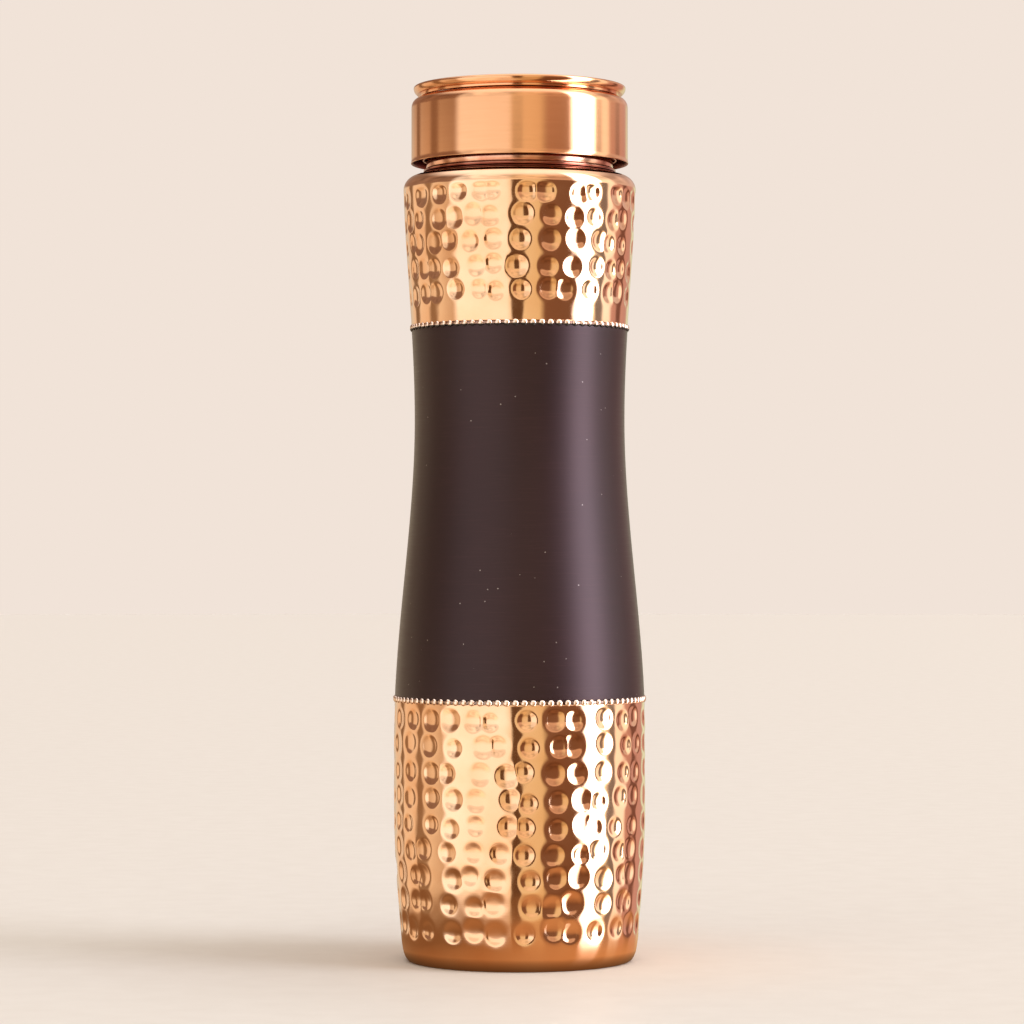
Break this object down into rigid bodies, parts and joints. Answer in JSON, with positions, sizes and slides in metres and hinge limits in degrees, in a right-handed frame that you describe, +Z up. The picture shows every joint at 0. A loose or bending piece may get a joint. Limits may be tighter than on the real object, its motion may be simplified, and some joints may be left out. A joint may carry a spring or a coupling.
{
  "type": "copper water bottle",
  "caption": "Tall drawn-in water bottle in hammered copper with a dark lacquered waist between two beaded seams, and a wide copper screw cap with a rolled top.",
  "frame": {"origin": "centre of the foot, at the height of the surface that the bottle stands on", "axes": "+Z up along the bottle's axis, from the foot to the cap; the bottle is round, so +X and +Y are free, and the threads start near +X"},
  "size_m": [0.0798, 0.0798, 0.275],
  "materials": {
    "hammered_copper": "bright copper sheet with round hammer dimples, lacquered clear",
    "satin_copper": "copper turned to a fine satin on the lathe",
    "inner_copper": "plain copper, darker and less polished",
    "bead_copper": "polished copper beads",
    "dark_lacquer": "dark brown-black lacquer with a silky sheen over turned copper",
    "silicone": "matt milky silicone"
  },
  "bodies": {
    "bottle": {"base_disc": "satin_copper", "lower_shell": "hammered_copper", "lower_bead_ring": "bead_copper", "waist_shell": "dark_lacquer", "upper_bead_ring": "bead_copper", "upper_shell": "hammered_copper", "threaded_neck": "inner_copper", "neck_collar": "inner_copper"},
    "seal": {"seal_ring": "silicone"},
    "cap": {"cap_thread_cup": "inner_copper", "cap_skirt": "satin_copper", "cap_top_disc": "satin_copper"}
  },
  "joints": [
    {"name": "cap_lift", "type": "slide", "parent": "bottle", "child": "seal", "axis": [0, 0, 1], "range_m": [0, 0.0226]},
    {"name": "cap_turn", "type": "hinge", "parent": "seal", "child": "cap", "pos_m": [0, 0, 0.2507], "axis": [0, 0, 1], "range_deg": [0, 1620]}
  ],
  "couplings": [
    {"joint": "cap_lift", "follows": "cap_turn", "m_per_rad": 0.00079577}
  ]
}
